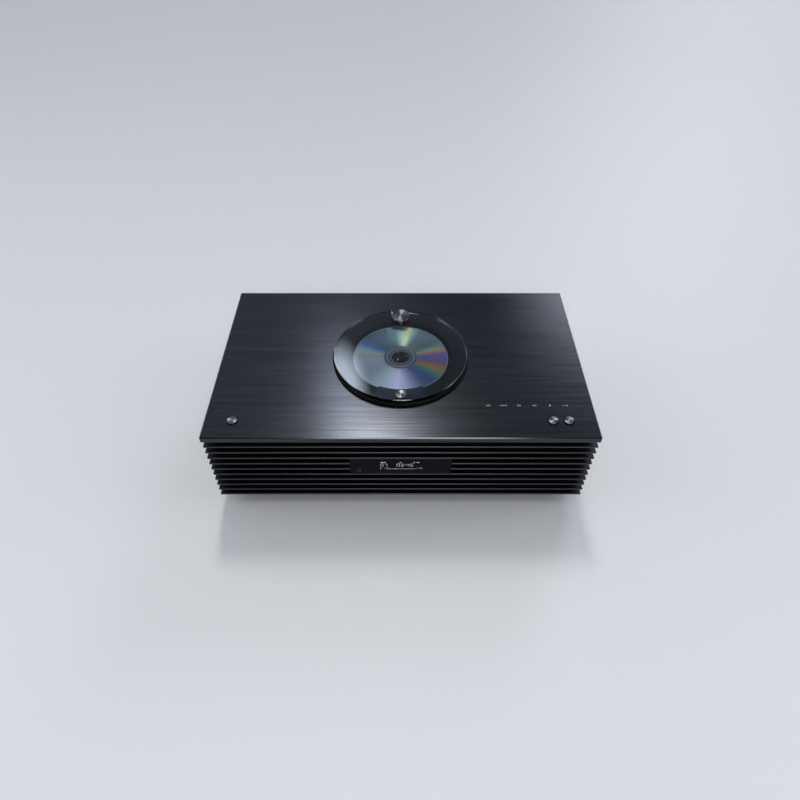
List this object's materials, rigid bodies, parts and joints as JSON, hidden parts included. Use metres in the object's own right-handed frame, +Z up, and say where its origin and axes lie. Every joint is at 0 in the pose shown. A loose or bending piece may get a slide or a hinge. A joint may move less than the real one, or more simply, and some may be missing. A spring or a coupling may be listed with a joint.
{
  "type": "all-in-one stereo system",
  "caption": "Low louvred stereo console with a thick metal top, a disc player under a round swinging clear lid, a display window, top buttons and built-in speakers.",
  "frame": {"origin": "on the table, under the middle of the top plate", "axes": "+Z up, +X to the right along the width, -Y to the front with the display"},
  "size_m": [0.45, 0.265, 0.1433],
  "materials": {
    "black_anodised_plate": "hairline-brushed black anodised aluminium",
    "black_fins": "satin black",
    "black_moulding": "fine-grained black moulding",
    "black_panel": "matt black painted steel",
    "fibreboard": "black-stained fibreboard",
    "speaker_cloth": "black stretched speaker cloth",
    "clear_acrylic": "clear polished acrylic",
    "smoked_acrylic": "polished smoked acrylic",
    "spun_aluminium": "spun natural aluminium",
    "steel": "bright steel",
    "dark_screw": "blackened steel",
    "brass": "turned brass",
    "disc": "moulded polycarbonate with a metal film",
    "rubber": "matt rubber",
    "paper_cone": "coated paper cone",
    "magnet": "ferrite and plated iron",
    "circuit_board": "soldered circuit board",
    "display_panel": "display module",
    "gear_plastic": "natural acetal",
    "lens": "coated lens",
    "aluminium": "extruded aluminium"
  },
  "bodies": {
    "cabinet": {"top_plate": "black_anodised_plate", "louvre_grille": "black_fins", "cabinet_shell": "black_moulding", "base_tray": "black_moulding", "disc_well": "black_moulding", "display_housing": "black_moulding", "mains_inlet": "black_moulding", "optical_jack": "black_moulding", "round_jacks": "black_moulding", "rear_panel": "black_panel", "subwoofer_guard": "black_panel", "woofer_frames": "black_panel", "subwoofer_frame": "black_panel", "front_baffle": "fibreboard", "speaker_cloth": "speaker_cloth", "display_window": "smoked_acrylic", "guide_rods": "steel", "player_chassis": "steel", "spindle_motor": "steel", "feed_motor": "steel", "network_jack": "steel", "usb_port": "steel", "aerial_socket": "steel", "foot_screws": "steel", "rear_screws": "dark_screw", "lid_pivot_bush": "brass", "feet": "rubber", "player_dampers": "rubber", "woofer_surrounds": "rubber", "subwoofer_surround": "rubber", "woofer_magnets": "magnet", "subwoofer_magnet": "magnet", "tweeters": "magnet", "power_switch_board": "circuit_board", "volume_switch_board": "circuit_board", "touch_board": "circuit_board", "main_board": "circuit_board", "power_board": "circuit_board", "amplifier_board": "circuit_board", "display_panel": "display_panel", "heat_sink": "aluminium"},
    "lid": {"lid": "clear_acrylic", "lid_grip_plate": "black_moulding", "lid_knob": "spun_aluminium", "lid_pivot_cap": "spun_aluminium", "lid_pivot_shaft": "steel", "lid_pivot_clip": "steel"},
    "turntable": {"turntable": "black_moulding", "chuck_balls": "steel", "disc": "disc"},
    "sled": {"pickup_sled": "black_moulding", "objective_lens": "lens"},
    "feed_wheel": {"feed_wheel": "gear_plastic"},
    "feed_pinion": {"feed_pinion": "brass"},
    "power_button": {"power_button": "spun_aluminium"},
    "volume_down_button": {"volume_down_button": "spun_aluminium"},
    "volume_up_button": {"volume_up_button": "spun_aluminium"},
    "woofer_cone_left": {"woofer_cone_left": "paper_cone"},
    "woofer_cone_right": {"woofer_cone_right": "paper_cone"},
    "subwoofer_cone": {"subwoofer_cone": "paper_cone"}
  },
  "joints": [
    {"name": "lid_swing", "type": "hinge", "parent": "cabinet", "child": "lid", "pos_m": [0, 0.0698, 0.13253], "axis": [0, 0, 1], "range_deg": [0, 150]},
    {"name": "disc_spin", "type": "hinge", "parent": "cabinet", "child": "turntable", "pos_m": [0, 0, 0.12943], "axis": [0, 0, 1], "continuous": true},
    {"name": "sled_slide", "type": "slide", "parent": "cabinet", "child": "sled", "axis": [0, -1, 0], "range_m": [0, 0.034]},
    {"name": "feed_wheel_turn", "type": "hinge", "parent": "cabinet", "child": "feed_wheel", "pos_m": [0.03225, -0.0425, 0.10503], "axis": [0, 0, 1], "range_deg": [-3, 313]},
    {"name": "feed_pinion_turn", "type": "hinge", "parent": "cabinet", "child": "feed_pinion", "pos_m": [0.05305, -0.0425, 0.10503], "axis": [0, 0, 1], "range_deg": [-1043, 10]},
    {"name": "power_press", "type": "slide", "parent": "cabinet", "child": "power_button", "axis": [0, 0, -1], "range_m": [0, 0.0008], "stiffness_N_per_m": 400, "springref_m": -0.002},
    {"name": "volume_down_press", "type": "slide", "parent": "cabinet", "child": "volume_down_button", "axis": [0, 0, -1], "range_m": [0, 0.0008], "stiffness_N_per_m": 400, "springref_m": -0.002},
    {"name": "volume_up_press", "type": "slide", "parent": "cabinet", "child": "volume_up_button", "axis": [0, 0, -1], "range_m": [0, 0.0008], "stiffness_N_per_m": 400, "springref_m": -0.002},
    {"name": "woofer_cone_left_stroke", "type": "slide", "parent": "cabinet", "child": "woofer_cone_left", "axis": [0, -1, 0], "range_m": [-0.002, 0.002], "stiffness_N_per_m": 900},
    {"name": "woofer_cone_right_stroke", "type": "slide", "parent": "cabinet", "child": "woofer_cone_right", "axis": [0, -1, 0], "range_m": [-0.002, 0.002], "stiffness_N_per_m": 900},
    {"name": "subwoofer_cone_stroke", "type": "slide", "parent": "cabinet", "child": "subwoofer_cone", "axis": [0, 0, -1], "range_m": [-0.0025, 0.0025], "stiffness_N_per_m": 1200}
  ],
  "couplings": [
    {"joint": "feed_wheel_turn", "follows": "sled_slide", "rad_per_m": 158.73},
    {"joint": "feed_pinion_turn", "follows": "sled_slide", "rad_per_m": -529.1}
  ]
}
